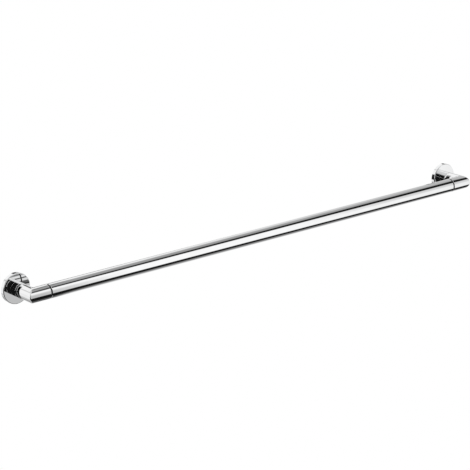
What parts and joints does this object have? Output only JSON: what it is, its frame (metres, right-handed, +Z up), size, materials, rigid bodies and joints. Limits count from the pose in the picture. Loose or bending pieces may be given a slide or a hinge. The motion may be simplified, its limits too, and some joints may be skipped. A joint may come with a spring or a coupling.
{
  "type": "towel rail",
  "caption": "Straight round chromed towel rail held off the wall by mitred elbows on round rosettes, with black spacer rings and hidden wall plates.",
  "frame": {"origin": "on the wall plane, midway between the two rosettes, at the height of the rail's axis", "axes": "+X along the rail to the right as seen from the room, +Y into the wall, +Z up"},
  "size_m": [0.822, 0.0515, 0.042],
  "materials": {
    "chrome": "polished chrome plate over brass",
    "black_plastic": "moulded, satin",
    "bare_brass": "turned, bare",
    "turned_steel": "turned stainless steel",
    "screw_steel": "plain stainless steel",
    "black_steel": "black oxide"
  },
  "bodies": {
    "root": {"rail_tube": "chrome", "left_elbow": "chrome", "right_elbow": "chrome", "left_rosette": "chrome", "right_rosette": "chrome", "left_spacer_ring": "black_plastic", "right_spacer_ring": "black_plastic", "left_connector": "bare_brass", "right_connector": "bare_brass", "left_wall_plate": "turned_steel", "right_wall_plate": "turned_steel", "left_elbow_screw": "screw_steel", "right_elbow_screw": "screw_steel", "left_lock_washer": "screw_steel", "right_lock_washer": "screw_steel", "left_grub_screw": "black_steel", "right_grub_screw": "black_steel"}
  },
  "joints": []
}
